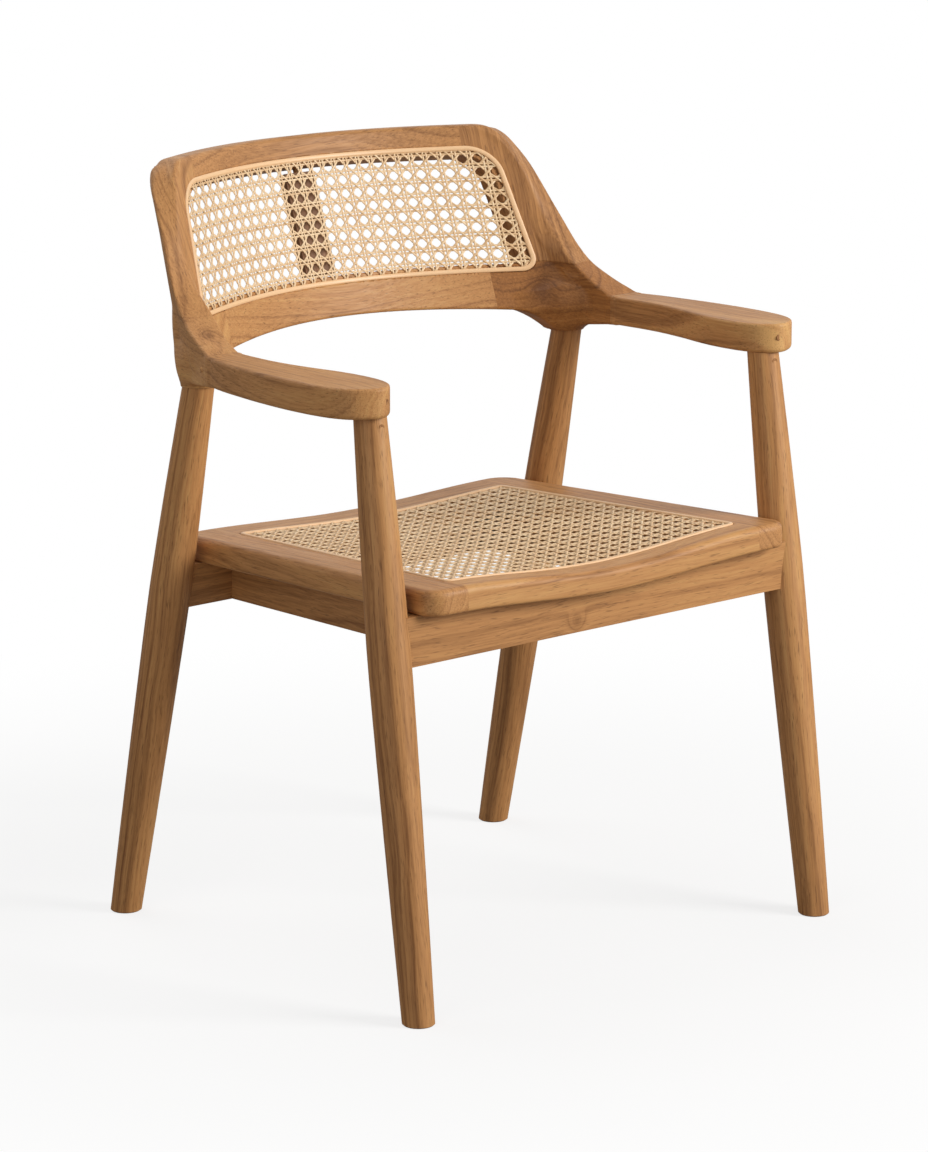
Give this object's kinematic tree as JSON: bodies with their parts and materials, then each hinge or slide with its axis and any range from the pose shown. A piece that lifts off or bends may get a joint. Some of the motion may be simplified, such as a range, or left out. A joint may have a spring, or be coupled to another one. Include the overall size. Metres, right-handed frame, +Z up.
{
  "type": "armchair",
  "caption": "Dining armchair in teak: splayed round tapered legs, a hollowed seat of woven cane, a bowed and leaning cane back, and flat arms that sweep out of the back's sides.",
  "frame": {"origin": "on the floor, under the middle of the chair's overall plan", "axes": "+Z up, the seat's front faces -Y, +X to the right of someone who stands in front of the chair and looks at it"},
  "size_m": [0.6562, 0.5752, 0.832],
  "materials": {
    "teak": "oiled, satin",
    "dark_teak": "oiled, satin",
    "dowel_wood": "plain",
    "woven_cane": "natural, satin",
    "reed_spline": "natural, satin",
    "screw_steel": "zinc plated"
  },
  "bodies": {
    "root": {"front_leg_left": "teak", "front_leg_right": "teak", "rear_leg_left": "teak", "rear_leg_right": "teak", "front_apron": "teak", "rear_apron": "teak", "side_apron_left": "teak", "side_apron_right": "teak", "corner_block_front_left": "dark_teak", "corner_block_front_right": "dark_teak", "corner_block_rear_left": "dark_teak", "corner_block_rear_right": "dark_teak", "corner_block_screws": "screw_steel", "apron_dowels": "dowel_wood", "seat_front_rail": "teak", "seat_back_rail": "teak", "seat_side_rail_left": "teak", "seat_side_rail_right": "teak", "seat_frame_dowels": "dowel_wood", "seat_screws": "screw_steel", "seat_cane": "woven_cane", "seat_spline": "reed_spline", "crest_rail": "teak", "lower_back_rail": "teak", "back_stile_left": "teak", "back_stile_right": "teak", "elbow_left": "teak", "elbow_right": "teak", "arm_left": "teak", "arm_right": "teak", "back_centre_slat": "dark_teak", "back_cane": "woven_cane", "back_spline": "reed_spline", "back_frame_dowels": "dowel_wood", "arm_pegs": "dowel_wood"}
  },
  "joints": []
}
